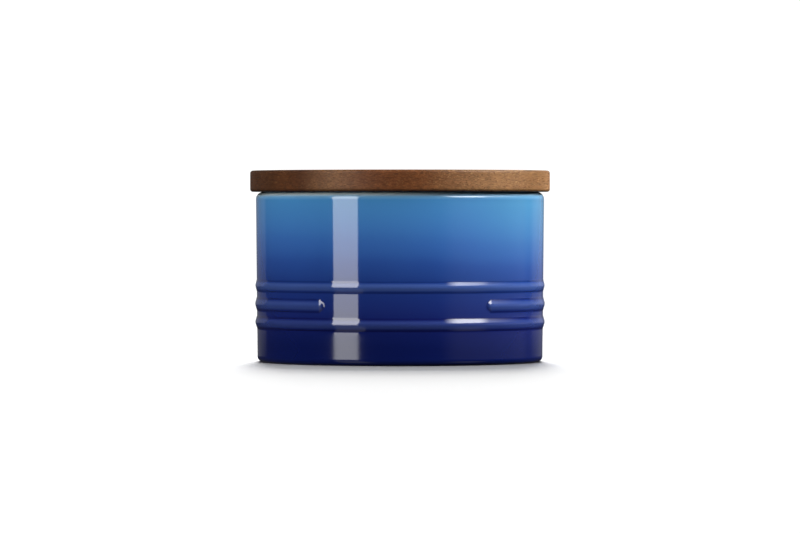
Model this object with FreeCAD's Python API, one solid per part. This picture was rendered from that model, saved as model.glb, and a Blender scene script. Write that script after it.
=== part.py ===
import FreeCAD, Part
import math
import os

# Low stoneware storage canister with a wooden lid, in millimetres.
# The origin is the middle of the base on the table and +Z is up.
# Three ridges run round the pot, and the middle one stops either side of a plain field that faces -Y.

# Pot
POT_HEIGHT = 68.0
RIM_DIAMETER = 115.4
BASE_INSET = 0.6            # the wall leans in by this much from rim to table
WALL_THICKNESS = 5.7        # at the rim
SHOULDER_RADIUS = 3.4       # outer edge of the rim
MOUTH_RADIUS = 1.2          # inner edge of the rim
BASE_CORNER_RADIUS = 2.4
INNER_CORNER_RADIUS = 8.0
FLOOR_THICKNESS = 6.4
FOOT_HEIGHT = 1.6           # recess under the floor
FOOT_WIDTH = 6.4            # from the base's sharp corner to the recess
FOOT_EDGE_RADIUS = 0.6

# Ridges on the wall
RIDGE_COUNT = 3
RIDGE_PITCH = 7.3
LOWEST_RIDGE_HEIGHT = 16.0  # above the table
RIDGE_RISE = 0.68           # from wall to crest
RIDGE_CREST_RADIUS = 3.1
RIDGE_FOOT_RADIUS = 4.0     # hollow blend from wall to ridge
FIELD_LENGTH = 67.2         # along the wall, between the middle ridge's round ends, blends not counted

# Lid: a wide disc and a narrower plug below it, glued together with the gasket trapped between them
LID_OVERHANG = 2.3          # beyond the rim
DISC_THICKNESS = 8.5
DISC_EDGE_RADIUS = 1.1
PLUG_DEPTH = 8.5
PLUG_CLEARANCE = 2.2        # between plug and mouth, bridged by the gasket's lips
PLUG_FLANGE_THICKNESS = 3.4
PLUG_EDGE_RADIUS = 1.0

# Gasket: a band round the plug's neck with lips that lean up against the mouth
BAND_THICKNESS = 2.4
BAND_EDGE_RADIUS = 0.3
GASKET_FIT = 0.15           # gap between the band and the wood on every side
LIP_COUNT = 2
LIP_PITCH = 1.7
LOWEST_LIP_HEIGHT = 1.0     # above the band's lower edge, at the lip's root
LIP_ROOT_THICKNESS = 1.0
LIP_TIP_THICKNESS = 0.5
LIP_LEAN = 0.8              # rise from root to tip
LIP_GAP = 0.2               # between lip and mouth

# Places that follow from the sizes above
RIM_RADIUS = RIM_DIAMETER / 2
BASE_RADIUS = RIM_RADIUS - BASE_INSET
BORE_RADIUS = RIM_RADIUS - WALL_THICKNESS
FLOOR_HEIGHT = FOOT_HEIGHT + FLOOR_THICKNESS
DISC_RADIUS = RIM_RADIUS + LID_OVERHANG
PLUG_RADIUS = BORE_RADIUS - PLUG_CLEARANCE
PLUG_BOTTOM = POT_HEIGHT - PLUG_DEPTH
FLANGE_TOP = PLUG_BOTTOM + PLUG_FLANGE_THICKNESS
NECK_RADIUS = PLUG_RADIUS - BAND_THICKNESS
BAND_INNER_RADIUS = NECK_RADIUS + GASKET_FIT
BAND_BOTTOM = FLANGE_TOP + GASKET_FIT
BAND_TOP = POT_HEIGHT - GASKET_FIT
LIP_TIP_RADIUS = BORE_RADIUS - LIP_GAP
BEAD_HALF_WIDTH = math.sqrt(RIDGE_RISE * (2 * RIDGE_CREST_RADIUS - RIDGE_RISE))  # of a ridge without its blends

ORIGIN = FreeCAD.Vector(0, 0, 0)
UP = FreeCAD.Vector(0, 0, 1)
FRONT_ANGLE = -90.0         # the field's middle, in degrees from +X
ON_WALL = 0.02              # how far an edge may lie from the wall and still count as on it


def section_point(radius, height):
    """A point of a section in the XZ half plane."""
    return FreeCAD.Vector(radius, 0, height)


def fitted_radii(points, radii):
    """The corner radii, each reduced where the edges beside its corner are too short to hold it."""
    count = len(points)
    tangents = []
    for i in range(count):
        back = points[i - 1] - points[i]
        ahead = points[(i + 1) % count] - points[i]
        tangents.append(radii[i] / math.tan(back.getAngle(ahead) / 2))
    fitted = []
    for i in range(count):
        share = 1.0
        for j in (i - 1, (i + 1) % count):
            needed = tangents[i] + tangents[j]
            length = points[i].distanceToPoint(points[j])
            if needed > length:
                share = min(share, length / needed)
        fitted.append(radii[i] * share)
    return fitted


def rounded_wire(corners):
    """A closed outline through corners of (radius, height, rounding), with a tangent arc at each rounded one."""
    points = [section_point(radius, height) for radius, height, rounding in corners]
    radii = fitted_radii(points, [rounding for radius, height, rounding in corners])
    count = len(points)
    starts = []
    ends = []
    arcs = []
    for i in range(count):
        back = (points[i - 1] - points[i]).normalize()
        ahead = (points[(i + 1) % count] - points[i]).normalize()
        half_turn = back.getAngle(ahead) / 2
        tangent = radii[i] / math.tan(half_turn)
        start = points[i] + back * tangent
        end = points[i] + ahead * tangent
        if radii[i] > 0:
            to_centre = (back + ahead).normalize()
            nearest = points[i] + to_centre * (radii[i] / math.sin(half_turn) - radii[i])
            arcs.append(Part.Arc(start, nearest, end).toShape())
        else:
            arcs.append(None)
        starts.append(start)
        ends.append(end)
    edges = []
    for i in range(count):
        if arcs[i]:
            edges.append(arcs[i])
        following = starts[(i + 1) % count]
        if not ends[i].isEqual(following, 1e-7):
            edges.append(Part.LineSegment(ends[i], following).toShape())
    return Part.Wire(edges)


def turned(corners):
    """The solid that a rounded section makes when it is turned once round the axis."""
    return Part.Face(rounded_wire(corners)).revolve(ORIGIN, UP, 360)


def one_solid(shape):
    """The single solid of a shape, with faces that lie on one surface joined."""
    solids = shape.removeSplitter().Solids
    if len(solids) != 1:
        raise ValueError(f"expected one solid and found {len(solids)}")
    return solids[0]


def wall_radius(height):
    """Outer radius of the leaning wall at a height above the table."""
    return BASE_RADIUS + BASE_INSET * height / POT_HEIGHT


def plain_pot():
    """The pot without its ridges: wall, rounded rim, hollow inside and a foot ring round a recess."""
    recess_radius = BASE_RADIUS - FOOT_WIDTH
    return turned([
        (0, FOOT_HEIGHT, 0),
        (recess_radius, FOOT_HEIGHT, FOOT_EDGE_RADIUS),
        (recess_radius, 0, FOOT_EDGE_RADIUS),
        (BASE_RADIUS, 0, BASE_CORNER_RADIUS),
        (RIM_RADIUS, POT_HEIGHT, SHOULDER_RADIUS),
        (BORE_RADIUS, POT_HEIGHT, MOUTH_RADIUS),
        (BORE_RADIUS, FLOOR_HEIGHT, INNER_CORNER_RADIUS),
        (0, FLOOR_HEIGHT, 0),
    ])


def ring_ridge(height):
    """A round bead that runs all the way round the wall, sunk so that it stands RIDGE_RISE proud."""
    return [Part.makeTorus(wall_radius(height) + RIDGE_RISE - RIDGE_CREST_RADIUS, RIDGE_CREST_RADIUS,
                           section_point(0, height))]


def broken_ridge(height):
    """The same bead with the field left out of it, each end closed by a ball of the bead's own radius."""
    path_radius = wall_radius(height) + RIDGE_RISE - RIDGE_CREST_RADIUS
    reach = math.degrees((FIELD_LENGTH / 2 + BEAD_HALF_WIDTH) / wall_radius(height))
    sweep = 360 - 2 * reach
    bead = Part.makeTorus(path_radius, RIDGE_CREST_RADIUS, ORIGIN, UP, 0, 360, sweep)
    bead.rotate(ORIGIN, UP, FRONT_ANGLE + reach)
    pieces = [bead]
    for angle in (FRONT_ANGLE + reach, FRONT_ANGLE - reach):
        ball = Part.makeSphere(RIDGE_CREST_RADIUS)
        ball.translate(FreeCAD.Vector(path_radius, 0, 0))
        ball.rotate(ORIGIN, UP, angle)
        pieces.append(ball)
    for piece in pieces:
        piece.translate(section_point(0, height))
    return pieces


def ridge_heights():
    """Heights of the ridges' crests, from the lowest up."""
    return [LOWEST_RIDGE_HEIGHT + i * RIDGE_PITCH for i in range(RIDGE_COUNT)]


def is_ridge_foot(edge):
    """Whether an edge is the sharp line where a ridge leaves the wall."""
    if edge.Degenerated or isinstance(edge.Curve, Part.Line):
        return False
    middle = edge.valueAt((edge.FirstParameter + edge.LastParameter) / 2)
    beside_ridge = any(abs(middle.z - height) < RIDGE_CREST_RADIUS for height in ridge_heights())
    return beside_ridge and abs(math.hypot(middle.x, middle.y) - wall_radius(middle.z)) < ON_WALL


def stoneware_pot():
    """The pot with its ridges, whose beads end inside the wall, blended into it by a hollow round."""
    mid_wall = Part.makeCylinder((BORE_RADIUS + BASE_RADIUS) / 2, POT_HEIGHT)
    ridges = []
    for i, height in enumerate(ridge_heights()):
        beads = broken_ridge(height) if i == RIDGE_COUNT // 2 else ring_ridge(height)
        ridges += [bead.cut(mid_wall) for bead in beads]
    body = one_solid(plain_pot().fuse(ridges))
    return one_solid(body.makeFillet(RIDGE_FOOT_RADIUS, [edge for edge in body.Edges if is_ridge_foot(edge)]))


def lid_disc():
    """The wide wooden disc that rests on the rim, with softened edges."""
    return turned([
        (0, POT_HEIGHT, 0),
        (DISC_RADIUS, POT_HEIGHT, DISC_EDGE_RADIUS),
        (DISC_RADIUS, POT_HEIGHT + DISC_THICKNESS, DISC_EDGE_RADIUS),
        (0, POT_HEIGHT + DISC_THICKNESS, 0),
    ])


def lid_plug():
    """The wooden plug below the disc: a flange that enters the mouth and a neck that carries the gasket."""
    return turned([
        (0, PLUG_BOTTOM, 0),
        (PLUG_RADIUS, PLUG_BOTTOM, PLUG_EDGE_RADIUS),
        (PLUG_RADIUS, FLANGE_TOP, 0),
        (NECK_RADIUS, FLANGE_TOP, 0),
        (NECK_RADIUS, POT_HEIGHT, 0),
        (0, POT_HEIGHT, 0),
    ])


def gasket_lip(root_height):
    """One tapered lip of the gasket, from inside the band to its round tip just short of the mouth."""
    root_half = LIP_ROOT_THICKNESS / 2
    tip_half = LIP_TIP_THICKNESS / 2
    root_radius = PLUG_RADIUS - BAND_THICKNESS / 2
    tip_height = root_height + LIP_LEAN
    return turned([
        (root_radius, root_height - root_half, 0),
        (LIP_TIP_RADIUS, tip_height - tip_half, tip_half),
        (LIP_TIP_RADIUS, tip_height + tip_half, tip_half),
        (root_radius, root_height + root_half, 0),
    ])


def lid_gasket():
    """The silicone gasket: a flat band with lips round its outside."""
    band = turned([
        (BAND_INNER_RADIUS, BAND_BOTTOM, BAND_EDGE_RADIUS),
        (PLUG_RADIUS, BAND_BOTTOM, BAND_EDGE_RADIUS),
        (PLUG_RADIUS, BAND_TOP, BAND_EDGE_RADIUS),
        (BAND_INNER_RADIUS, BAND_TOP, BAND_EDGE_RADIUS),
    ])
    lips = [gasket_lip(BAND_BOTTOM + LOWEST_LIP_HEIGHT + i * LIP_PITCH) for i in range(LIP_COUNT)]
    return one_solid(band.fuse(lips))


def main():
    """Builds each piece, writes it to its own file and prints its size."""
    os.makedirs("parts", exist_ok=True)
    pieces = {
        "stoneware_pot": stoneware_pot(),
        "lid_disc": lid_disc(),
        "lid_plug": lid_plug(),
        "lid_gasket": lid_gasket(),
    }
    for name, shape in pieces.items():
        shape.exportStep(os.path.join("parts", name + ".step"))
        box = shape.optimalBoundingBox()
        print(f"{name}: {box.XLength:.1f} x {box.YLength:.1f} x {box.ZLength:.1f} mm, "
              f"{shape.Volume / 1000:.1f} cm3, valid {shape.isValid()}")


main()
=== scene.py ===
"""Looks of a low round stoneware storage canister with a wooden lid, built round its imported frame.

The pot, the two boards of the lid and the gasket are sections that Geometry Nodes turn round the axis.
Each stands for the frame's node that it replaces. Lengths are in metres and +Z is up.
"""

import logging
import math
from dataclasses import dataclass
from enum import Enum
from typing import Any, Optional, Union

import bpy
from mathutils import Matrix, Vector


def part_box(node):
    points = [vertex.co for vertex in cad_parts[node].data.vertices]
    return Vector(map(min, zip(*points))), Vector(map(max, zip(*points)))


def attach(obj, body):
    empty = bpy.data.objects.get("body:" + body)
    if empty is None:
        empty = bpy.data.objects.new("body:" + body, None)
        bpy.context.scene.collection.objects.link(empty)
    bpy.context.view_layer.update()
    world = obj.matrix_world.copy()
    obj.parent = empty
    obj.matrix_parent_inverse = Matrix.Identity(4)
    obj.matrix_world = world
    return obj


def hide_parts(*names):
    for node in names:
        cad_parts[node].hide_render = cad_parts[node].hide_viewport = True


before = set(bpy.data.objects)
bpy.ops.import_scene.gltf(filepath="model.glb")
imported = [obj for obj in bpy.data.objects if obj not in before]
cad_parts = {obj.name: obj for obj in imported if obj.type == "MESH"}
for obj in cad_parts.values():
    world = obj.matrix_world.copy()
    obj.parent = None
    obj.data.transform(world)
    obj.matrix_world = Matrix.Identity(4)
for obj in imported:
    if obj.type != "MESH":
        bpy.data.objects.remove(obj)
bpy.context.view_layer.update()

MM = 0.001
GUARD = 0.3 * MM        # a point this close to each end of a straight run keeps the shading of flats flat
ARC_STEP = math.radians(9.0)    # the most that a round turns from one point to the next
WELD = 0.001 * MM       # points closer than this are one
log = logging.getLogger("canister")

Colour = tuple[float, float, float]
Span = tuple[float, float]
Stops = tuple[tuple[float, Colour], ...]
Value = Union["Signal", float, int]


def low(node: str) -> Vector:
    """Lowest corner of a node of the frame at rest."""
    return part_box(node)[0]


def high(node: str) -> Vector:
    """Highest corner of a node of the frame at rest."""
    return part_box(node)[1]


class Signal:
    """An output socket of a node that takes part in Python sums, which add Math nodes to its graph."""

    def __init__(self, graph: "Graph", socket: bpy.types.NodeSocket) -> None:
        """Keeps the socket and the graph that it belongs to."""
        self.graph = graph
        self.socket = socket

    def other(self, name: str) -> "Signal":
        """Another output of the same node, by name."""
        return Signal(self.graph, Graph.find(self.socket.node.outputs, name))

    def __add__(self, value: Value) -> "Signal":
        """The sum of two values."""
        return self.graph.math("ADD", self, value)

    def __radd__(self, value: Value) -> "Signal":
        """The sum of a number and this value."""
        return self.graph.math("ADD", value, self)

    def __sub__(self, value: Value) -> "Signal":
        """This value less another."""
        return self.graph.math("SUBTRACT", self, value)

    def __rsub__(self, value: Value) -> "Signal":
        """A number less this value."""
        return self.graph.math("SUBTRACT", value, self)

    def __mul__(self, value: Value) -> "Signal":
        """The product of two values."""
        return self.graph.math("MULTIPLY", self, value)

    def __rmul__(self, value: Value) -> "Signal":
        """The product of a number and this value."""
        return self.graph.math("MULTIPLY", value, self)

    def __truediv__(self, value: Value) -> "Signal":
        """This value divided by another."""
        return self.graph.math("DIVIDE", self, value)

    def __rtruediv__(self, value: Value) -> "Signal":
        """A number divided by this value."""
        return self.graph.math("DIVIDE", value, self)

    def __abs__(self) -> "Signal":
        """The size of this value without its sign."""
        return self.graph.math("ABSOLUTE", self)

    def root(self) -> "Signal":
        """The square root, with nothing below zero."""
        return self.graph.math("SQRT", self.at_least(0.0))

    def at_least(self, value: Value) -> "Signal":
        """This value, or the other where that is greater."""
        return self.graph.math("MAXIMUM", self, value)

    def at_most(self, value: Value) -> "Signal":
        """This value, or the other where that is less."""
        return self.graph.math("MINIMUM", self, value)

    def above(self, value: Value) -> "Signal":
        """One where this value is greater than the other, and zero elsewhere."""
        return self.graph.math("GREATER_THAN", self, value)

    def eased(self, start: Value, end: Value) -> "Signal":
        """Eases this value into a smooth rise.

        Args:
            start: Where the rise leaves zero.
            end: Where it reaches one.

        Returns:
            The rise, from zero to one.
        """
        settings = {"interpolation_type": "SMOOTHSTEP"}
        sockets = {"Value": self, "From Min": start, "From Max": end}
        return self.graph.signal("ShaderNodeMapRange", settings, sockets)

    def over(self, span: Span, unit: float = 1.0, origin: float = 0.0) -> "Signal":
        """A smooth rise from zero to one over a span, which is given in a unit and from an origin."""
        return self.eased(origin + span[0] * unit, origin + span[1] * unit)


class Graph:
    """A node tree that is filled by Python expressions."""

    def __init__(self, tree: bpy.types.NodeTree) -> None:
        """Keeps the tree that new nodes go to."""
        self.tree = tree

    @staticmethod
    def find(sockets: Any, key: Union[str, int]) -> bpy.types.NodeSocket:
        """Finds a socket of a node.

        Args:
            sockets: The node's inputs or outputs.
            key: Its place in the list, or the name of a socket that is in use.

        Returns:
            The socket.
        """
        if isinstance(key, int):
            return sockets[key]
        return next(socket for socket in sockets if socket.enabled and socket.name == key)

    def node(self, kind: str, settings: Optional[dict[str, Any]] = None,
             sockets: Optional[dict[Union[str, int], Any]] = None) -> bpy.types.Node:
        """Adds one node.

        Args:
            kind: The node's type.
            settings: Its properties, set first; "stops" are a colour ramp's places and colours.
            sockets: The value or the signal for each input socket, by name or place.

        Returns:
            The new node.
        """
        made = self.tree.nodes.new(kind)
        for name, value in (settings or {}).items():
            if name == "stops":
                self.set_stops(made.color_ramp, value)
            else:
                setattr(made, name, value)
        for key, value in (sockets or {}).items():
            socket = self.find(made.inputs, key)
            if isinstance(value, Signal):
                self.tree.links.new(value.socket, socket)
            else:
                socket.default_value = value
        return made

    @staticmethod
    def set_stops(ramp: bpy.types.ColorRamp, stops: Stops) -> None:
        """Gives a colour ramp its stops.

        Args:
            ramp: The ramp of a new Color Ramp node.
            stops: A place from 0 to 1 and a colour for each stop, in rising order.
        """
        while len(ramp.elements) > 1:
            ramp.elements.remove(ramp.elements[-1])
        ramp.interpolation = "CARDINAL"
        for i, (place, colour) in enumerate(stops):
            element = ramp.elements[0] if i == 0 else ramp.elements.new(place)
            element.position = place
            element.color = (*colour, 1.0)

    def signal(self, kind: str, settings: Optional[dict[str, Any]] = None,
               sockets: Optional[dict[Union[str, int], Any]] = None, output: Union[str, int] = 0) -> Signal:
        """Adds one node and takes one of its outputs.

        Args:
            kind: The node's type.
            settings: Its properties.
            sockets: The values or signals of its inputs.
            output: The name or place of the output.

        Returns:
            The output as a signal.
        """
        return Signal(self, self.find(self.node(kind, settings, sockets).outputs, output))

    def math(self, operation: str, *values: Value) -> Signal:
        """The result of one Math node on up to three values."""
        return self.signal("ShaderNodeMath", {"operation": operation}, dict(enumerate(values)))

    def reach(self, point: Signal, axis: Vector) -> Signal:
        """How far a point lies along an axis."""
        sockets = {0: point, 1: axis}
        return self.signal("ShaderNodeVectorMath", {"operation": "DOT_PRODUCT"}, sockets, "Value")

    def vector(self, x: Value, y: Value, z: Value) -> Signal:
        """A vector of three values."""
        return self.signal("ShaderNodeCombineXYZ", None, {"X": x, "Y": y, "Z": z})


class ShaderGraph(Graph):
    """The graph of a new material, which ends in one Principled shader."""

    def __init__(self, name: str) -> None:
        """Makes the material with an empty graph.

        Args:
            name: The name of the material.
        """
        self.material = bpy.data.materials.new(name)
        self.material.use_nodes = True
        self.material.node_tree.nodes.clear()
        super().__init__(self.material.node_tree)

    def place(self) -> Signal:
        """Object coordinates, which move with the piece."""
        return self.signal("ShaderNodeTexCoord", None, None, "Object")

    def parts(self, vector: Signal) -> tuple[Signal, Signal, Signal]:
        """The three parts of a vector."""
        first = self.signal("ShaderNodeSeparateXYZ", None, {"Vector": vector}, "X")
        return first, first.other("Y"), first.other("Z")

    def attribute(self, name: str) -> Signal:
        """A value that the piece's mesh carries."""
        return self.signal("ShaderNodeAttribute", {"attribute_name": name}, None, "Fac")

    def noise(self, vector: Signal, size: float, detail: float = 2.0) -> Signal:
        """Cloudy noise about 0.5, whose features have about the given size in metres."""
        sockets = {"Vector": vector, "Scale": 1.0 / size, "Detail": detail}
        return self.signal("ShaderNodeTexNoise", None, sockets, "Fac")

    def ramp(self, value: Signal, stops: Stops) -> Signal:
        """The colour that a value from 0 to 1 finds between stops."""
        return self.signal("ShaderNodeValToRGB", {"stops": stops}, {"Fac": value}, "Color")

    def mix(self, share: Value, first: Any, second: Any, blend: str = "MIX") -> Signal:
        """Blends two colours.

        Args:
            share: How far the result goes from the first colour to the second.
            first: A colour or a signal.
            second: A colour or a signal.
            blend: The Mix node's way of blending.

        Returns:
            The blended colour.
        """
        sides = [side if isinstance(side, Signal) else (*side, 1.0) for side in (first, second)]
        sockets = {"Factor": share, "A": sides[0], "B": sides[1]}
        return self.signal("ShaderNodeMix", {"data_type": "RGBA", "blend_type": blend}, sockets, "Result")

    def bump(self, height: Signal, depth: float) -> Signal:
        """The normal of a surface with relief, from a height of 0 to 1 and its depth in metres."""
        return self.signal("ShaderNodeBump", None, {"Height": height, "Distance": depth, "Strength": 1.0})

    def finish(self, sockets: dict[Union[str, int], Any]) -> bpy.types.Material:
        """Ends the graph.

        Args:
            sockets: The Principled shader's values and signals.

        Returns:
            The finished material.
        """
        shader = self.signal("ShaderNodeBsdfPrincipled", None, sockets)
        self.node("ShaderNodeOutputMaterial", None, {"Surface": shader})
        return self.material


class Carried(str, Enum):
    """Values that the pot's mesh carries for its glaze."""

    CREST = "crest"     # one along the tops of the ridges
    POOL = "pool"       # one in the hollows beside them


@dataclass(frozen=True)
class BlueGlaze:
    """Glossy glaze from sky blue at the rim to navy at the foot, thin on edges and pooled by the ridges.

    Levels are shares of the pot's height, and sides are shares of the rim's radius, to the right. The rim's
    pale tint is held back on its top and its right side as painted shade.
    """

    sky: Colour = (0.0385, 0.154, 0.340)
    azure: Colour = (0.0286, 0.105, 0.296)
    royal: Colour = (0.0170, 0.059, 0.220)
    cobalt: Colour = (0.0092, 0.030, 0.146)
    ink: Colour = (0.0054, 0.0125, 0.090)
    navy: Colour = (0.0018, 0.0052, 0.052)
    fade: Stops = ((0.13, navy), (0.30, ink), (0.50, cobalt), (0.62, royal), (0.76, azure), (0.94, sky))
    cloud: float = 18.0 * MM
    wander: float = 0.03                # by how much the clouds move the levels
    run: float = 0.032                  # by how much the glaze has run further on the right
    run_sides: Span = (0.1, 0.5)
    aside_tint: Colour = (0.98, 1.00, 0.87)
    aside_sides: Span = (0.35, 0.85)
    aside_levels: Span = (0.45, 0.80)
    upper_levels: Span = (0.20, 0.50)   # from the ridges' low tints to their others
    crest_tint: Colour = (0.075, 0.125, 0.300)
    low_crest_tint: Colour = (0.042, 0.070, 0.220)
    crest_share: float = 0.28
    pool_tint: Colour = (0.16, 0.30, 0.44)
    low_pool_tint: Colour = (0.30, 0.10, 0.40)
    halo_tint: Colour = (0.100, 0.248, 0.405)
    halo_span: Span = (-3.6 * MM, -1.5 * MM)    # these three are heights, from the top of the rim
    rim_span: Span = (-2.1 * MM, -0.8 * MM)
    painted_lip_shade_span: Span = (-0.6 * MM, -0.2 * MM)
    painted_lip_shade: float = 0.85              # painted shade: how much of the rim's tint is lost on its top, under the lid
    rim_tint: Colour = (0.50, 0.57, 0.56)
    rim_share: float = 0.75
    rim_clouds: float = 0.3
    painted_rim_shade_sides: Span = (-0.2, 0.5)
    painted_rim_shade: float = 0.7               # painted shade: how much of that tint is lost on the right
    inside: Colour = (0.10, 0.27, 0.47)
    inside_span: Span = (0.2 * MM, 2.0 * MM)    # outwards from the bore
    bare_span: Span = (0.2 * MM, 0.5 * MM)      # outwards from the foot ring's flat
    slack: float = 0.5 * MM             # by which a zone reaches past the level floor in it
    biscuit: Colour = (0.52, 0.44, 0.35)
    dark_biscuit: Colour = (0.34, 0.27, 0.20)
    grit: float = 0.6 * MM
    grit_share: float = 0.5
    grit_relief: float = 4.0            # against the ripple's own
    ripple: float = 14.0 * MM
    ripple_depth: float = 0.004 * MM
    roughness: float = 0.05
    roughness_spread: float = 0.02
    bare_roughness: float = 0.75        # added on the bare foot
    low_roughness: float = 0.07         # added below the ridges, where the glaze is duller
    low_span: Span = (-5.0 * MM, -2.5 * MM)     # heights, from the lowest ridge
    index: float = 1.5

    def material(self, pot: "Pot") -> bpy.types.Material:
        """Makes the glaze for a pot.

        Args:
            pot: The pot, whose heights and radii place the bands of colour.

        Returns:
            The material.
        """
        graph = ShaderGraph("blue_glaze")
        place = graph.place()
        x, y, z = graph.parts(place)
        radius = (x * x + y * y).root()
        clouds = graph.noise(place, self.cloud)
        run = x.over(self.run_sides, pot.rim_radius)
        level = z / pot.height + (clouds - 0.5) * self.wander + run * self.run
        aside = x.over(self.aside_sides, pot.rim_radius) * level.over(self.aside_levels)
        fade = graph.ramp(level, self.fade)
        tinted = graph.mix(aside, fade, graph.mix(1.0, fade, self.aside_tint, "MULTIPLY"))
        crest = graph.attribute(Carried.CREST.value)
        pool = graph.attribute(Carried.POOL.value)
        upper = level.over(self.upper_levels)
        thick = graph.mix(upper, self.low_pool_tint, self.pool_tint)
        pooled = graph.mix(pool, tinted, graph.mix(1.0, tinted, thick, "MULTIPLY"))
        thin = graph.mix(upper, self.low_crest_tint, self.crest_tint)
        broken = graph.mix(crest * self.crest_share, pooled, thin)
        haloed = graph.mix(z.over(self.halo_span, origin=pot.height), broken, self.halo_tint)
        rim = z.over(self.rim_span, origin=pot.height)
        # painted shade: the rim's pale tint is taken off its top, under the lid
        rim_tint_with_painted_lip_shade = rim * (1.0 - z.over(self.painted_lip_shade_span, origin=pot.height) * self.painted_lip_shade)
        # painted shade: less of the rim's pale tint on its right side
        painted_rim_side_shade = 1.0 - x.over(self.painted_rim_shade_sides, pot.rim_radius) * self.painted_rim_shade
        rim_tone = self.rim_share + clouds * self.rim_clouds
        rimmed = graph.mix(rim_tint_with_painted_lip_shade * painted_rim_side_shade * rim_tone, haloed, self.rim_tint)
        within = 1.0 - radius.over(self.inside_span, origin=pot.bore_radius)
        lined = graph.mix(within * z.above(pot.floor_height - self.slack), rimmed, self.inside)
        footed = 1.0 - radius.over(self.bare_span, origin=pot.base_radius - pot.base_corner)
        bare = footed * (1.0 - z.above(pot.foot_height + self.slack))
        grit = graph.noise(place, self.grit, detail=4.0)
        clay = graph.mix(grit * self.grit_share, self.biscuit, self.dark_biscuit)
        gloss = self.roughness + (clouds - 0.5) * self.roughness_spread
        below = 1.0 - z.over(self.low_span, origin=pot.lowest_ridge)
        dull = radius.above(pot.mid_wall()) * below
        relief = graph.noise(place, self.ripple, detail=1.0) + grit * bare * self.grit_relief
        return graph.finish({
            "Base Color": graph.mix(bare, lined, clay),
            "Roughness": gloss + bare * self.bare_roughness + dull * self.low_roughness,
            "IOR": self.index,
            "Normal": graph.bump(relief, self.ripple_depth),
        })


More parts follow.
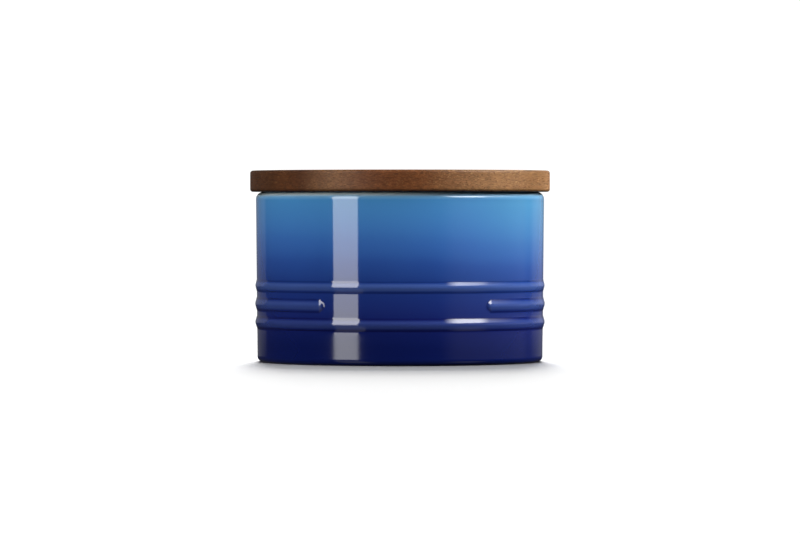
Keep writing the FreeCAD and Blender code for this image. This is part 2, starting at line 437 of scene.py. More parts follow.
@dataclass(frozen=True)
class OiledWood:
    """Oiled brown hardwood whose grain runs front to back, with pores, flecks, rings and bands of tone, and
    painted shade along both edges of the disc.
    """

    dark: Colour = (0.061, 0.0203, 0.0058)
    brown: Colour = (0.128, 0.055, 0.0195)
    red: Colour = (0.098, 0.033, 0.0100)
    gold: Colour = (0.172, 0.083, 0.031)
    amber: Colour = (0.138, 0.064, 0.0215)
    bark: Colour = (0.046, 0.0170, 0.0065)
    bands: Stops = (
        (0.0, bark), (0.08, bark), (0.13, dark), (0.21, dark), (0.31, brown), (0.42, red),
        (0.57, red), (0.70, brown), (0.82, gold), (0.88, gold), (0.925, amber), (0.98, gold),
    )
    grain_turn: float = math.radians(6.0)
    stretch: float = 0.03               # how the streaks are drawn out, along the grain
    sway: float = 20.0 * MM             # how far the bands of tone wander
    sway_size: float = 16.0 * MM
    ring_width: float = 2.6 * MM
    ring_sway: float = 6.0 * MM
    ring_share: float = 0.07
    pith_aside: float = 22.0 * MM
    pith_below: float = 70.0 * MM
    fibre: float = 0.50 * MM
    fibre_across: float = 0.42          # each such factor under 1 widens a streak across the grain
    fibre_up: float = 1.3               # and one over 1 makes it thinner upwards
    fibre_shade: float = 1.70
    mottle: float = 2.4 * MM
    mottle_shade: float = 0.55
    base_shade: float = -0.125
    painted_shade_foot_span: Span = (-0.2 * MM, 2.0 * MM)     # heights, from the disc's underside, of the painted shade along its lower edge
    painted_shade_arris_span: Span = (-1.2 * MM, 0.0)         # heights, from its top, of the painted shade along the top
    painted_edge_shade: float = 0.28            # painted shade: how much darker both edges of the disc are
    pore: float = 0.55 * MM
    pore_across: float = 0.5
    pore_span: Span = (0.57, 0.72)      # of the noise, from solid wood to an open pore
    pore_share: float = 0.58
    fleck: Colour = (0.36, 0.21, 0.085)
    speck: float = 0.45 * MM
    speck_across: float = 0.6
    speck_aside: float = 0.5            # takes the flecks from another part of the noise than the pores
    speck_span: Span = (0.60, 0.74)
    speck_base: float = 0.3
    fleck_share: float = 0.14           # on the dark side of the plank
    fleck_gain: float = 0.42            # more on its pale side
    fleck_tones: Span = (0.35, 0.95)
    relief: float = 0.05 * MM
    fibre_relief: float = 0.4
    pore_relief: float = 0.6
    roughness: float = 0.48
    roughness_spread: float = 0.2
    sheen: float = 0.2

    def material(self, half_width: float) -> bpy.types.Material:
        """Makes the wood for boards cut from one plank.

        Args:
            half_width: Half the plank's width, across its grain.

        Returns:
            The material.
        """
        graph = ShaderGraph("oiled_wood")
        turned = graph.signal("ShaderNodeMapping", None, {
            "Vector": graph.place(),
            "Rotation": (0.0, 0.0, self.grain_turn),
        })
        across, along, up = graph.parts(turned)
        drawn = along * self.stretch
        streaks = graph.vector(across, drawn, up)
        drift = graph.noise(streaks, self.sway_size, detail=3.0) - 0.5
        tone = (across + drift * self.sway) / (2.0 * half_width) + 0.5
        plank = graph.ramp(tone, self.bands)
        from_pith = across - self.pith_aside + drift * self.ring_sway
        from_below = up + self.pith_below - low("lid_plug").z
        ring = (from_pith * from_pith + from_below * from_below).root() / self.ring_width
        late = graph.math("SINE", ring * math.tau) * 0.5 + 0.5
        ringed = graph.mix(late * late * self.ring_share, plank, self.dark)
        fine = graph.vector(across * self.fibre_across, drawn, up * self.fibre_up)
        fibres = graph.noise(fine, self.fibre, detail=3.0)
        mottle = graph.noise(streaks, self.mottle, detail=3.0)
        # painted shade: the wood is darker along the disc's lower edge and along its top
        lit = 1.0 - self.painted_edge_shade + up.over(self.painted_shade_foot_span, origin=low("lid_disc").z) * self.painted_edge_shade
        painted_edge_shading = lit - up.over(self.painted_shade_arris_span, origin=high("lid_disc").z) * self.painted_edge_shade
        shade = (fibres * self.fibre_shade + mottle * self.mottle_shade + self.base_shade) * painted_edge_shading
        toned = graph.mix(1.0, ringed, graph.vector(shade, shade, shade), "MULTIPLY")
        pores = graph.noise(graph.vector(across * self.pore_across, drawn, up), self.pore, detail=1.0)
        open_pore = pores.over(self.pore_span)
        dotted = graph.mix(open_pore * self.pore_share, toned, self.dark)
        elsewhere = graph.vector(across * self.speck_across + self.speck_aside, drawn, up)
        specks = graph.noise(elsewhere, self.speck, detail=1.0)
        bright = specks.over(self.speck_span) * (self.speck_base + mottle)
        flecks = bright * (self.fleck_share + tone.over(self.fleck_tones) * self.fleck_gain)
        height = fibres * self.fibre_relief - open_pore * self.pore_relief + self.pore_relief
        rough = (mottle - 0.5) * self.roughness_spread + open_pore * self.roughness_spread
        return graph.finish({
            "Base Color": graph.mix(flecks, dotted, self.fleck),
            "Roughness": self.roughness + rough,
            "Specular IOR Level": self.sheen,
            "Normal": graph.bump(height, self.relief),
        })


@dataclass(frozen=True)
class Silicone:
    """Milky soft silicone with a slight bloom."""

    milk: Colour = (0.74, 0.74, 0.71)
    bloom: Colour = (0.82, 0.82, 0.80)
    cloud: float = 4.0 * MM
    skin: float = 0.25 * MM
    skin_depth: float = 0.01 * MM
    roughness: float = 0.42
    roughness_spread: float = 0.15
    index: float = 1.41
    milky_share: float = 0.25
    milky_depth: float = 2.0 * MM

    def material(self) -> bpy.types.Material:
        """Makes the silicone.

        Returns:
            The material.
        """
        graph = ShaderGraph("silicone")
        place = graph.place()
        clouds = graph.noise(place, self.cloud, detail=3.0)
        skin = graph.noise(place, self.skin)
        return graph.finish({
            "Base Color": graph.mix(clouds, self.milk, self.bloom),
            "Roughness": self.roughness + (clouds - 0.5) * self.roughness_spread,
            "IOR": self.index,
            "Subsurface Weight": self.milky_share,
            "Subsurface Radius": (self.milky_depth, self.milky_depth, self.milky_depth),
            "Normal": graph.bump(skin, self.skin_depth),
        })


@dataclass(frozen=True)
class Corner:
    """A corner of a turned section."""

    radius: float
    height: float
    rounding: float = 0.0
    step: float = 4.0 * MM      # between points on the straight run that follows

    def point(self) -> Vector:
        """The sharp corner in the section's plane."""
        return Vector((self.radius, self.height))


@dataclass(frozen=True)
class Section:
    """The outline that a piece is turned from, run so that the piece lies on its left."""

    corners: tuple[Corner, ...]
    closed: bool = False

    def arc(self, i: int) -> list[Vector]:
        """The points of one corner.

        Args:
            i: The corner's place in the outline.

        Returns:
            Points along its round, or the sharp corner alone.
        """
        count = len(self.corners)
        corner = self.corners[i]
        here = corner.point()
        if corner.rounding == 0.0 or (not self.closed and i in (0, count - 1)):
            return [here]
        back = (self.corners[i - 1].point() - here).normalized()
        ahead = (self.corners[(i + 1) % count].point() - here).normalized()
        half = back.angle(ahead) / 2.0
        centre = here + (back + ahead).normalized() * (corner.rounding / math.sin(half))
        start = here + back * (corner.rounding / math.tan(half)) - centre
        turn = math.copysign(math.pi - 2.0 * half, ahead.cross(back))
        steps = max(3, math.ceil(abs(turn) / ARC_STEP))
        return [centre + Matrix.Rotation(turn * k / steps, 2) @ start for k in range(steps + 1)]

    def points(self) -> list[Vector]:
        """Divides the straight runs and guards each end of a run.

        Returns:
            The whole outline as points.
        """
        arcs = [self.arc(i) for i in range(len(self.corners))]
        found: list[Vector] = []
        for i, arc in enumerate(arcs):
            found += arc
            if i + 1 == len(arcs) and not self.closed:
                break
            start, end = arc[-1], arcs[(i + 1) % len(arcs)][0]
            run = (end - start).length
            if run > 3.0 * GUARD:
                steps = max(1, round((run - 2.0 * GUARD) / self.corners[i].step))
                shares = [(GUARD + (run - 2.0 * GUARD) * k / steps) / run for k in range(steps + 1)]
                found += [start.lerp(end, share) for share in shares]
        if self.closed:
            found.append(found[0])
        return found


class Turning:
    """A section turned round the axis by Geometry Nodes, as one piece of the canister."""

    def __init__(self, name: str, section: Section, segments: int) -> None:
        """Keeps what the piece is made from.

        Args:
            name: The name of the piece.
            section: Its section.
            segments: The number of steps round the axis.
        """
        self.name = name
        self.section = section
        self.segments = segments

    def sizes(self) -> dict[str, float]:
        """The sizes that the node tree takes as named inputs."""
        return {"Segments": self.segments}

    def angle(self, share: Signal, size: dict[str, Signal]) -> Signal:
        """The angle from the front at a share of the way round, from the back to the back."""
        return (share - 0.5) * math.tau

    def raised(self, radius: Signal, height: Signal, angle: Signal,
               size: dict[str, Signal]) -> tuple[Signal, dict[Carried, Signal]]:
        """What the piece adds to its plain section.

        Args:
            radius: The section's radius at a point.
            height: The point's height.
            angle: Its angle from the front.
            size: The tree's named sizes.

        Returns:
            The new radius, and the values that the mesh carries.
        """
        return radius, {}

    def tree(self) -> tuple[bpy.types.NodeTree, dict[str, str]]:
        """Builds the node tree.

        Returns:
            The tree, and the identifier of each named input.
        """
        tree = bpy.data.node_groups.new(f"{self.name}_turning", "GeometryNodeTree")
        kinds = {"Section": "NodeSocketGeometry", "Finish": "NodeSocketMaterial"}
        for name, value in self.sizes().items():
            kinds[name] = "NodeSocketInt" if isinstance(value, int) else "NodeSocketFloat"
        made = {name: tree.interface.new_socket(name, in_out="INPUT", socket_type=kind)
                for name, kind in kinds.items()}
        tree.interface.new_socket("Piece", in_out="OUTPUT", socket_type="NodeSocketGeometry")
        graph = Graph(tree)
        entry = graph.signal("NodeGroupInput")
        size = {name: entry.other(name) for name in self.sizes()}
        rows = graph.signal("GeometryNodeAttributeDomainSize", {"component": "MESH"}, {"Geometry": entry})
        sheet = graph.signal("GeometryNodeMeshGrid", None, {
            "Vertices X": size["Segments"] + 1,
            "Vertices Y": rows,
        })
        index = graph.signal("GeometryNodeInputIndex")
        column = graph.math("FLOOR", (index + 0.5) / rows)
        row = index - column * rows
        point = graph.signal("GeometryNodeSampleIndex", {"data_type": "FLOAT_VECTOR", "domain": "POINT"}, {
            "Geometry": entry,
            "Value": graph.signal("GeometryNodeInputPosition"),
            "Index": row,
        })
        plain = graph.signal("ShaderNodeSeparateXYZ", None, {"Vector": point}, "X")
        height = plain.other("Z")
        angle = self.angle(column / size["Segments"], size)
        radius, carried = self.raised(plain, height, angle, size)
        per_point = {"data_type": "FLOAT", "domain": "POINT"}
        for key, value in carried.items():
            sheet = graph.signal("GeometryNodeStoreNamedAttribute", per_point, {
                "Geometry": sheet,
                "Name": key.value,
                "Value": value,
            })
        aside = radius * graph.math("SINE", angle)
        behind = 0 - radius * graph.math("COSINE", angle)
        place = graph.vector(aside, behind, height)
        placed = graph.signal("GeometryNodeSetPosition", None, {"Geometry": sheet, "Position": place})
        welded = graph.signal("GeometryNodeMergeByDistance", None, {"Geometry": placed, "Distance": WELD})
        smooth = graph.signal("GeometryNodeSetShadeSmooth", None, {"Geometry": welded})
        real = graph.signal("GeometryNodeRealizeInstances", None, {"Geometry": smooth})
        finish = entry.other("Finish")
        dressed = graph.signal("GeometryNodeSetMaterial", None, {"Geometry": real, "Material": finish})
        graph.node("NodeGroupOutput", None, {"Piece": dressed})
        return tree, {name: socket.identifier for name, socket in made.items()}

    def make(self, material: bpy.types.Material) -> bpy.types.Object:
        """Turns the section into a plain mesh.

        Args:
            material: The piece's finish.

        Returns:
            The piece, at the origin, with no modifier left on it.
        """
        outline = bpy.data.meshes.new(f"{self.name}_section")
        outline.from_pydata([(p.x, 0.0, p.y) for p in self.section.points()], [], [])
        piece = bpy.data.objects.new(self.name, outline)
        bpy.context.scene.collection.objects.link(piece)
        tree, inputs = self.tree()
        modifier = piece.modifiers.new("turning", "NODES")
        modifier.node_group = tree
        for name, value in self.sizes().items():
            modifier[inputs[name]] = value
        modifier[inputs["Finish"]] = material
        depsgraph = bpy.context.evaluated_depsgraph_get()
        mesh = bpy.data.meshes.new_from_object(piece.evaluated_get(depsgraph), preserve_all_data_layers=True,
                                               depsgraph=depsgraph)
        mesh.name = self.name
        piece.modifiers.remove(modifier)
        piece.data = mesh
        bpy.data.meshes.remove(outline)
        return piece


class RidgedTurning(Turning):
    """A turned section with ridges on its outside, the middle one left out across a plain field."""

    def __init__(self, name: str, section: Section, segments: int, pot: "Pot") -> None:
        """Keeps the pot whose ridges are raised."""
        super().__init__(name, section, segments)
        self.pot = pot

    def sizes(self) -> dict[str, float]:
        """The ridges' sizes, besides the number of steps."""
        pot = self.pot
        return {
            **super().sizes(),
            "Ridges": pot.ridge_count,
            "Lowest Ridge": pot.lowest_ridge,
            "Pitch": pot.ridge_pitch,
            "Rise": pot.ridge_rise,
            "Top Fall": pot.top_fall,
            "Crest Radius": pot.crest_radius,
            "Foot Radius": pot.foot_radius,
            "Flank Slope": pot.flank_slope,
            "Flank Spread": pot.flank_spread,
            "End Slope": pot.end_slope,
            "Ridge End": pot.ridge_end(),
            "Mid Wall": pot.mid_wall(),
            "Gather": pot.gather,
            "Gather Width": pot.gather_width,
        }

    def angle(self, share: Signal, size: dict[str, Signal]) -> Signal:
        """Gathers the steps round the axis where the middle ridge ends.

        Args:
            share: The share of the way round, from the back to the back.
            size: The tree's named sizes.

        Returns:
            The angle from the front.
        """
        gather, width = size["Gather"], size["Gather Width"]
        spread = math.tau / (math.tau - 4.0 * gather)
        middle = size["Ridge End"] / spread + gather
        even = super().angle(share, size)
        pulls = [even.graph.math("TANH", (even - side * middle) / width) for side in (-1.0, 1.0)]
        return (even - gather * (pulls[0] + pulls[1])) * spread

    def raised(self, radius: Signal, height: Signal, angle: Signal,
               size: dict[str, Signal]) -> tuple[Signal, dict[Carried, Signal]]:
        """Raises the ridge that is nearest to each point of the outer wall.

        Args:
            radius: The plain wall's radius at a point.
            height: The point's height.
            angle: Its angle from the front.
            size: The tree's named sizes.

        Returns:
            The raised radius, and the crest and pool values for the glaze.
        """
        graph = radius.graph
        crest, foot = size["Crest Radius"], size["Foot Radius"]
        last = size["Ridges"] - 1
        rank = graph.math("ROUND", (height - size["Lowest Ridge"]) / size["Pitch"]).at_least(0).at_most(last)
        step_up = rank - last / 2
        is_middle = 1.0 - abs(step_up).at_most(1.0)
        rise = size["Rise"] * (1.0 - size["Top Fall"] * step_up.at_least(0.0))
        beside = height - size["Lowest Ridge"] - rank * size["Pitch"]
        past_end = ((size["Ridge End"] - abs(angle)) * radius).at_least(0.0) * is_middle
        away = (beside * beside + past_end * past_end).root()
        side_slope = size["Flank Slope"] - size["Flank Spread"] * step_up
        slope = side_slope + (size["End Slope"] - side_slope) * past_end.eased(0.0, crest / 4)
        sine, cosine = graph.math("SINE", slope), graph.math("COSINE", slope)
        straight = (rise - (crest + foot) * (1.0 - cosine)) / sine
        reach = (crest + foot) * sine + straight * cosine
        turn = reach * crest / (crest + foot)
        top = rise - crest + (crest * crest - away * away).root()
        slack = reach - away.at_most(reach)
        blend = foot - (foot * foot - slack * slack).root()
        flank = foot * (1.0 - cosine) + (slack - foot * sine) * sine / cosine
        is_outside = radius.above(size["Mid Wall"])
        is_top = (crest * sine).above(away)
        is_foot = (foot * sine).above(slack)
        rising = (top * is_top + blend * is_foot + flank * (1.0 - is_top - is_foot)) * is_outside
        thin_from, thin_to = (turn * share for share in self.pot.thin_span)
        pool_from, pool_to = (turn * share for share in self.pot.pool_span)
        clear_from, clear_to = (reach * share for share in self.pot.clear_span)
        thin = (1.0 - away.eased(thin_from, thin_to)) * is_outside
        hollow = away.eased(pool_from, pool_to) * (1.0 - away.eased(clear_from, clear_to)) * is_outside
        return radius + rising, {Carried.CREST: thin, Carried.POOL: hollow}


@dataclass
class Pot:
    """The glazed pot: a leaning wall with three ridges, a round rim, a hollow inside and a foot ring."""

    height: float = high("stoneware_pot").z
    rim_radius: float = 57.7 * MM
    base_inset: float = 0.6 * MM
    wall: float = 5.7 * MM
    shoulder: float = 2.9 * MM
    mouth: float = 1.2 * MM
    base_corner: float = 2.4 * MM
    inner_corner: float = 8.0 * MM
    floor: float = 6.4 * MM
    foot_height: float = 1.6 * MM
    foot_width: float = 6.4 * MM
    foot_edge: float = 0.6 * MM
    ridge_count: int = 3
    ridge_pitch: float = 7.3 * MM
    lowest_ridge: float = 16.0 * MM
    ridge_rise: float = 0.68 * MM
    crest_radius: float = 2.6 * MM
    foot_radius: float = 1.7 * MM
    flank_slope: float = math.radians(15.7)
    flank_spread: float = math.radians(1.2)     # each ridge's flanks are this much flatter than those below
    end_slope: float = math.radians(25.0)       # of the round ends of the middle ridge
    top_fall: float = 0.22          # share by which the top ridge is lower than the others
    field_length: float = 67.2 * MM
    end_inset: float = 2.2 * MM     # from the field's edge to the middle of a ridge's round end
    thin_span: Span = (0.55, 1.15)  # where a crest's thin glaze ends, in shares of the crest's half width
    pool_span: Span = (0.95, 1.45)  # where the pooled glaze beside it begins, in the same shares
    clear_span: Span = (0.72, 1.02)     # and where that ends, in shares of the ridge's half width
    segments: int = 360
    ridge_step: float = 0.26 * MM
    gather: float = 0.10            # radians by which steps are drawn in at each end of the middle ridge
    gather_width: float = 0.14      # radians over which they are

    @property
    def base_radius(self) -> float:
        """Radius of the wall at the table."""
        return self.rim_radius - self.base_inset

    @property
    def bore_radius(self) -> float:
        """Radius of the mouth."""
        return self.rim_radius - self.wall

    @property
    def recess_radius(self) -> float:
        """Radius of the hollow inside the foot ring."""
        return self.base_radius - self.foot_width

    @property
    def floor_height(self) -> float:
        """Height of the floor inside."""
        return self.foot_height + self.floor

    def wall_radius(self, height: float) -> float:
        """Outer radius of the plain wall at a height."""
        return self.base_radius + self.base_inset * height / self.height

    def mid_wall(self) -> float:
        """A radius that lies within the wall."""
        return (self.bore_radius + self.base_radius) / 2.0

    def ridge_end(self) -> float:
        """Angle from the front to the middle of each round end of the middle ridge."""
        middle = self.lowest_ridge + self.ridge_pitch * (self.ridge_count // 2)
        return (self.field_length / 2.0 + self.end_inset) / self.wall_radius(middle)

    def section(self) -> Section:
        """Draws the section without its ridges, with close points where they will be raised.

        Returns:
            The section.
        """
        margin = self.ridge_pitch / 2.0
        ridges_low = self.lowest_ridge - margin
        ridges_high = self.lowest_ridge + self.ridge_pitch * (self.ridge_count - 1) + margin
        return Section((
            Corner(0.0, self.foot_height, step=12.0 * MM),
            Corner(self.recess_radius, self.foot_height, self.foot_edge),
            Corner(self.recess_radius, 0.0, self.foot_edge),
            Corner(self.base_radius, 0.0, self.base_corner, step=2.0 * MM),
            Corner(self.wall_radius(ridges_low), ridges_low, step=self.ridge_step),
            Corner(self.wall_radius(ridges_high), ridges_high, step=2.0 * MM),
            Corner(self.rim_radius, self.height, self.shoulder),
            Corner(self.bore_radius, self.height, self.mouth),
            Corner(self.bore_radius, self.floor_height, self.inner_corner, step=12.0 * MM),
            Corner(0.0, self.floor_height),
        ))

    def build(self) -> RidgedTurning:
        """The turning that makes the pot."""
        return RidgedTurning("glazed_pot", self.section(), self.segments, self)

    def dress(self, finish: BlueGlaze) -> bpy.types.Object:
        """Makes the pot in its glaze, in place of the frame's solid."""
        return seat(self.build().make(finish.material(self)), "stoneware_pot", "pot")


@dataclass
class Lid:
    """The wooden lid: a wide disc over the rim and a plug below it whose neck carries the gasket."""

    disc_radius: float = high("lid_disc").x
    disc_bottom: float = low("lid_disc").z
    disc_top: float = high("lid_disc").z
    disc_edge: float = 1.1 * MM
    plug_radius: float = high("lid_plug").x
    plug_bottom: float = low("lid_plug").z
    plug_edge: float = 1.0 * MM
    flange: float = 3.4 * MM
    neck_depth: float = 2.4 * MM
    arris: float = 0.15 * MM
    segments: int = 288

    def disc_section(self) -> Section:
        """The flat disc with softened edges."""
        return Section((
            Corner(0.0, self.disc_bottom, step=10.0 * MM),
            Corner(self.disc_radius, self.disc_bottom, self.disc_edge),
            Corner(self.disc_radius, self.disc_top, self.disc_edge, step=10.0 * MM),
            Corner(0.0, self.disc_top),
        ))

    def plug_section(self) -> Section:
        """Draws the plug's flange and the neck above it, up to the disc.

        Returns:
            The section.
        """
        flange_top = self.plug_bottom + self.flange
        neck_radius = self.plug_radius - self.neck_depth
        return Section((
            Corner(0.0, self.plug_bottom, step=10.0 * MM),
            Corner(self.plug_radius, self.plug_bottom, self.plug_edge),
            Corner(self.plug_radius, flange_top, self.arris),
            Corner(neck_radius, flange_top, self.arris),
            Corner(neck_radius, self.disc_bottom, self.arris, step=10.0 * MM),
            Corner(0.0, self.disc_bottom),
        ))

    def build(self) -> dict[str, Turning]:
        """The turnings that make the two boards, by the node that each stands for."""
        return {
            "lid_disc": Turning("lid_board_upper", self.disc_section(), self.segments),
            "lid_plug": Turning("lid_board_lower", self.plug_section(), self.segments),
        }

    def dress(self, finish: OiledWood) -> list[bpy.types.Object]:
        """Makes both boards from one plank, in place of the frame's solids."""
        wood = finish.material(self.disc_radius)
        return [seat(turning.make(wood), node, "lid") for node, turning in self.build().items()]


@dataclass
class Gasket:
    """The silicone ring round the plug's neck: a flat band with lips that lean up towards the mouth."""

    inner_radius: float = 47.55 * MM
    band_radius: float = high("lid_plug").x
    bottom: float = low("lid_gasket").z
    top: float = high("lid_gasket").z
    band_edge: float = 0.3 * MM
    lip_radius: float = high("lid_gasket").x
    lip_count: int = 2
    lip_pitch: float = 1.7 * MM
    lowest_lip: float = 1.0 * MM
    lip_root: float = 1.0 * MM
    lip_tip: float = 0.5 * MM
    tip_round: float = 0.95         # rounding of the tip, as a share of half its thickness
    lip_lean: float = 0.8 * MM
    lip_length: float = 3.2 * MM    # from inside the band, where the lip's flanks have the root's thickness
    root_fillet: float = 0.1 * MM
    segments: int = 288

    def lip(self, i: int) -> list[Corner]:
        """Draws one lip.

        Args:
            i: The lip's place, from the lowest.

        Returns:
            Its four corners, from the band's outside round the tip and back.
        """
        root = self.bottom + self.lowest_lip + i * self.lip_pitch
        share = (self.band_radius - (self.lip_radius - self.lip_length)) / self.lip_length
        middle = root + self.lip_lean * share
        half = (self.lip_root + (self.lip_tip - self.lip_root) * share) / 2.0
        tip = root + self.lip_lean
        tip_half = self.lip_tip / 2.0
        return [
            Corner(self.band_radius, middle - half, self.root_fillet, step=0.5 * MM),
            Corner(self.lip_radius, tip - tip_half, tip_half * self.tip_round),
            Corner(self.lip_radius, tip + tip_half, tip_half * self.tip_round, step=0.5 * MM),
            Corner(self.band_radius, middle + half, self.root_fillet),
        ]

    def section(self) -> Section:
        """The band's closed outline with its lips."""
        lips = [corner for i in range(self.lip_count) for corner in self.lip(i)]
        return Section((
            Corner(self.inner_radius, self.bottom, self.band_edge),
            Corner(self.band_radius, self.bottom, self.band_edge),
            *lips,
            Corner(self.band_radius, self.top, self.band_edge),
            Corner(self.inner_radius, self.top, self.band_edge),
        ), closed=True)

    def build(self) -> Turning:
        """The turning that makes the ring."""
        return Turning("gasket_ring", self.section(), self.segments)

    def dress(self, finish: Silicone) -> bpy.types.Object:
        """Makes the ring in silicone, in place of the frame's solid."""
        return seat(self.build().make(finish.material()), "lid_gasket", "gasket")


def seat(piece: bpy.types.Object, node: str, body: str) -> bpy.types.Object:
    """Ties a piece to the frame and reports it.

    Args:
        piece: The finished piece.
        node: The node of the frame that it stands for.
        body: The body that it moves with.

    Returns:
        The same piece.
    """
    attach(piece, body)
    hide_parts(node)
    triangles = sum(len(face.vertices) - 2 for face in piece.data.polygons)
    log.info("%s: %d triangles, stands for %s on %s", piece.name, triangles, node, body)
    return piece


class Lit(Enum):
    """What a studio light falls on."""

    CANISTER = "canister"
    FLOOR = "floor"


@dataclass(frozen=True)
class Softbox:
    """A rectangular studio light that faces the canister."""

    name: str
    azimuth: float          # degrees from the camera, to its right
    elevation: float        # degrees above the table, to the light's middle
    width: float
    height: float
    radiance: float
    distance: float = 2.0
    lit: Lit = Lit.CANISTER
    soft: float = 0.0       # share of the half width and half height over which the edges fade
    low_share: float = 1.0  # strength of the lower part, which rises to full strength between two heights
    rise_from: float = 0.0
    rise_to: float = 1.0
    lean: float = 0.0       # how far a soft light is set aside for each metre above its middle
    mirrored: bool = True   # whether glossy surfaces show it

    @property
    def panel_width(self) -> float:
        """Width of the upright panel that holds the leaning light."""
        return self.width + abs(self.lean) * self.height

    def shade(self, graph: Graph, middle: Vector, out: Vector) -> None:
        """Fades the light towards its edges and its foot.

        Args:
            graph: The light's empty node graph.
            middle: The middle of the light.
            out: The direction from the canister to the light.
        """
        spot = graph.signal("ShaderNodeNewGeometry", None, None, "Position")
        level = graph.signal("ShaderNodeSeparateXYZ", None, {"Vector": spot}, "Z")
        strength = graph.signal("ShaderNodeMapRange", None, {
            "Value": level,
            "From Min": self.rise_from,
            "From Max": self.rise_to,
            "To Min": self.low_share,
        })
        if self.soft > 0.0:
            aside = Vector((0.0, 0.0, 1.0)).cross(out).normalized()
            upward = out.cross(aside)
            across, along = (graph.reach(spot, axis) - middle.dot(axis) for axis in (aside, upward))
            for reach, span in ((across - along * self.lean, self.width), (along, self.height)):
                inside = 1.0 - abs(reach) / (span / 2.0)
                strength = strength * inside.eased(0.0, self.soft)
        glow = graph.signal("ShaderNodeEmission", None, {"Strength": strength})
        graph.node("ShaderNodeOutputLight", None, {"Surface": glow})

    def add(self, turn: float, target: Vector, receivers: bpy.types.Collection) -> bpy.types.Object:
        """Adds the light.

        Args:
            turn: The camera's own azimuth, in degrees.
            target: The point that the light faces.
            receivers: The objects that it falls on.

        Returns:
            The light.
        """
        out = direction(self.azimuth + turn, self.elevation)
        data = bpy.data.lights.new(self.name, "AREA")
        data.shape = "RECTANGLE"
        data.size = self.panel_width
        data.size_y = self.height
        data.energy = math.pi * self.panel_width * self.height * self.radiance
        data.use_nodes = True
        data.node_tree.nodes.clear()
        light = bpy.data.objects.new(self.name, data)
        light.location = target + out * self.distance
        self.shade(Graph(data.node_tree), light.location, out)
        light.rotation_mode = "QUATERNION"
        light.rotation_quaternion = out.to_track_quat("Z", "Y")
        light.visible_camera = False
        light.visible_glossy = self.mirrored
        light.light_linking.receiver_collection = receivers
        bpy.context.scene.collection.objects.link(light)
        return light


def direction(azimuth: float, elevation: float) -> Vector:
    """The unit vector at an azimuth from -Y towards +X and an elevation, both in degrees."""
    turn, tilt = math.radians(azimuth), math.radians(elevation)
    return Vector((math.sin(turn) * math.cos(tilt), -math.cos(turn) * math.cos(tilt), math.sin(tilt)))


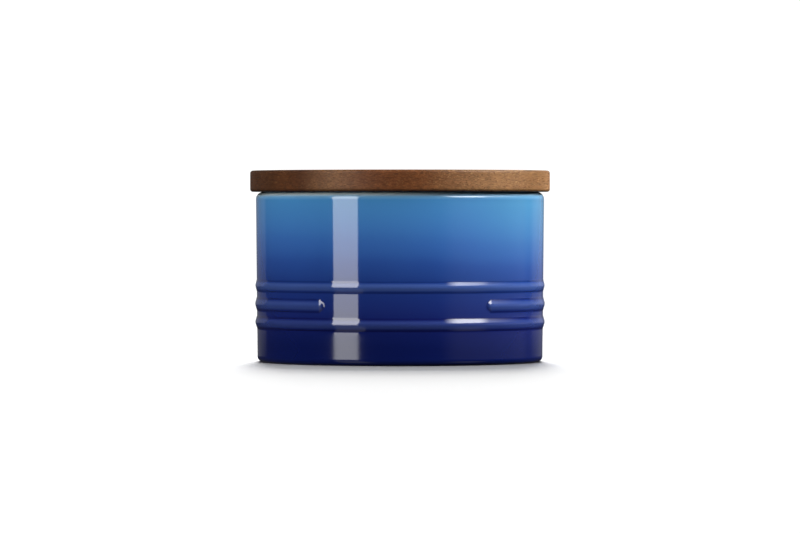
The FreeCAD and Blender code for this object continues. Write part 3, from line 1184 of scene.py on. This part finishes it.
@dataclass
class Studio:
    """The plain pale floor, the soft lights and the camera."""

    camera_azimuth: float = -2.45
    camera_distance: float = 1.850
    camera_height: float = 62.0 * MM
    aim_height: float = 38.1 * MM
    focal_length: float = 207.8     # millimetres, as is the sensor's width
    sensor_width: float = 36.0
    floor_radius: float = 6.0
    floor_steps: int = 96
    floor_tone: float = 0.9
    near_radius: float = 0.30       # the floor shows its own shading up to here
    far_radius: float = 0.60        # and is plain white from here on
    white: float = 1.1              # strength of the plain white floor and of the backdrop
    dim: float = 0.03               # strength of the surroundings as light
    softboxes: tuple[Softbox, ...] = (
        Softbox("strip_left", azimuth=-44.85, elevation=14.7, width=0.765, height=1.535, radiance=9.0,
                soft=0.016, lean=-0.088, low_share=0.58, rise_from=-0.06, rise_to=0.5),
        Softbox("strip_low", azimuth=-43.4, elevation=-35.0, width=0.78, height=1.4, radiance=0.45),
        Softbox("box_right", azimuth=59.0, elevation=33.5, width=1.45, height=1.1, radiance=14.5, soft=0.6),
        Softbox("glow_right", azimuth=84.0, elevation=33.0, width=3.0, height=1.3, radiance=6.0, soft=1.0),
        Softbox("glow_low", azimuth=62.0, elevation=-38.0, width=1.4, height=1.2, radiance=0.4, soft=0.8),
        Softbox("card_right", azimuth=80.0, elevation=0.0, width=4.7, height=0.7, radiance=0.41,
                soft=0.5, low_share=0.4, rise_from=-0.05, rise_to=0.06),
        Softbox("card_back", azimuth=178.0, elevation=14.0, width=4.33, height=1.28, radiance=0.16,
                low_share=0.75, rise_from=-0.05, rise_to=0.06),
        Softbox("card_edge", azimuth=142.0, elevation=0.0, width=1.5, height=0.7, radiance=0.20,
                soft=0.45, low_share=0.2, rise_from=-0.07, rise_to=0.03),
        Softbox("fill_left", azimuth=-100.0, elevation=32.0, width=1.6, height=1.6, radiance=2.0,
                mirrored=False),
        Softbox("fill_key", azimuth=-44.0, elevation=45.0, width=1.2, height=1.2, radiance=4.6,
                mirrored=False),
        Softbox("fill_right", azimuth=102.0, elevation=36.0, width=2.0, height=1.6, radiance=10.5,
                mirrored=False),
        Softbox("fill_back", azimuth=180.0, elevation=40.0, width=2.0, height=1.6, radiance=3.2,
                mirrored=False),
        Softbox("floor_graze", azimuth=180.0, elevation=8.0, width=0.3, height=0.5, radiance=48.0,
                distance=2.2, lit=Lit.FLOOR),
        Softbox("floor_low", azimuth=180.0, elevation=20.0, width=0.6, height=0.5, radiance=37.0,
                distance=2.2, lit=Lit.FLOOR),
        Softbox("floor_mid", azimuth=180.0, elevation=38.0, width=0.7, height=0.9, radiance=19.6,
                distance=2.2, lit=Lit.FLOOR),
        Softbox("floor_high", azimuth=180.0, elevation=60.0, width=0.5, height=0.5, radiance=21.6,
                distance=2.2, lit=Lit.FLOOR),
        Softbox("floor_top", azimuth=180.0, elevation=89.0, width=1.2, height=1.2, radiance=2.1,
                distance=2.2, lit=Lit.FLOOR),
        Softbox("floor_front", azimuth=0.0, elevation=65.0, width=0.8, height=0.8, radiance=5.0,
                distance=2.2, lit=Lit.FLOOR),
    )

    def disc(self, name: str, radius: float, material: bpy.types.Material) -> bpy.types.Object:
        """Lays a flat round piece of the stage at table height.

        Args:
            name: The name of the piece.
            radius: Its radius.
            material: Its finish.

        Returns:
            The piece.
        """
        ring = [direction(360.0 * k / self.floor_steps, 0.0) * radius for k in range(self.floor_steps)]
        mesh = bpy.data.meshes.new(name)
        mesh.from_pydata(ring, [], [tuple(range(self.floor_steps))])
        mesh.materials.append(material)
        made = bpy.data.objects.new(name, mesh)
        bpy.context.scene.collection.objects.link(made)
        return made

    def floor_finish(self) -> bpy.types.Material:
        """Makes the pale matt floor, which goes over into plain white away from the canister.

        Returns:
            The material.
        """
        graph = ShaderGraph("pale_floor")
        x, y, _ = graph.parts(graph.place())
        far = (x * x + y * y).root().eased(self.near_radius, self.far_radius)
        tone = self.floor_tone
        matt = graph.signal("ShaderNodeBsdfDiffuse", None, {"Color": (tone, tone, tone, 1.0)})
        white = graph.signal("ShaderNodeEmission", None, {"Strength": self.white})
        both = graph.signal("ShaderNodeMixShader", None, {"Fac": far, 1: matt, 2: white})
        graph.node("ShaderNodeOutputMaterial", None, {"Surface": both})
        return graph.material

    def build_floor(self) -> bpy.types.Object:
        """Lays the floor, which the camera sees and which the glaze doesn't reflect.

        Returns:
            The floor.
        """
        ground = self.disc("ground", self.floor_radius, self.floor_finish())
        ground.visible_diffuse = False
        ground.visible_glossy = False
        ground.visible_shadow = False
        return ground

    def build_world(self) -> None:
        """A white backdrop for the camera and dim surroundings for the light."""
        scene = bpy.context.scene
        scene.world = bpy.data.worlds.new("studio")
        scene.world.use_nodes = True
        scene.world.node_tree.nodes.clear()
        graph = Graph(scene.world.node_tree)
        seen = graph.signal("ShaderNodeLightPath", None, None, "Is Camera Ray")
        glow = graph.signal("ShaderNodeBackground", None, {
            "Color": (1.0, 1.0, 1.0, 1.0),
            "Strength": seen * (self.white - self.dim) + self.dim,
        })
        graph.node("ShaderNodeOutputWorld", None, {"Surface": glow})
        scene.view_settings.view_transform = "Standard"

    def build_lights(self, pieces: list[bpy.types.Object], floor: list[bpy.types.Object]) -> None:
        """Adds the lights.

        Args:
            pieces: The canister's pieces.
            floor: The pieces of the stage.
        """
        falls_on = {Lit.CANISTER: pieces, Lit.FLOOR: floor}
        receivers = {}
        for lit, objects in falls_on.items():
            receivers[lit] = bpy.data.collections.new(f"lit_{lit.value}")
            for obj in objects:
                receivers[lit].objects.link(obj)
        target = Vector((0.0, 0.0, self.aim_height))
        for softbox in self.softboxes:
            softbox.add(self.camera_azimuth, target, receivers[softbox.lit])

    def build_camera(self) -> None:
        """Adds the camera at the viewing angle of a level product shot."""
        data = bpy.data.cameras.new("camera")
        data.lens = self.focal_length
        data.sensor_width = self.sensor_width
        data.sensor_fit = "HORIZONTAL"
        camera = bpy.data.objects.new("camera", data)
        camera.location = direction(self.camera_azimuth, 0.0) * self.camera_distance
        camera.location.z = self.camera_height
        look = Vector((0.0, 0.0, self.aim_height)) - camera.location
        camera.rotation_euler = look.to_track_quat("-Z", "Y").to_euler()
        bpy.context.scene.collection.objects.link(camera)
        bpy.context.scene.camera = camera

    def build(self, pieces: list[bpy.types.Object]) -> None:
        """Builds the stage round the finished pieces.

        Args:
            pieces: The canister's pieces.
        """
        self.build_camera()
        self.build_world()
        self.build_lights(pieces, [self.build_floor()])


def main() -> None:
    """Builds the canister and its stage."""
    logging.basicConfig(level=logging.INFO, format="%(name)s: %(message)s")
    pieces = [Pot().dress(BlueGlaze()), *Lid().dress(OiledWood()), Gasket().dress(Silicone())]
    Studio().build(pieces)


if __name__ == "__main__":
    main()
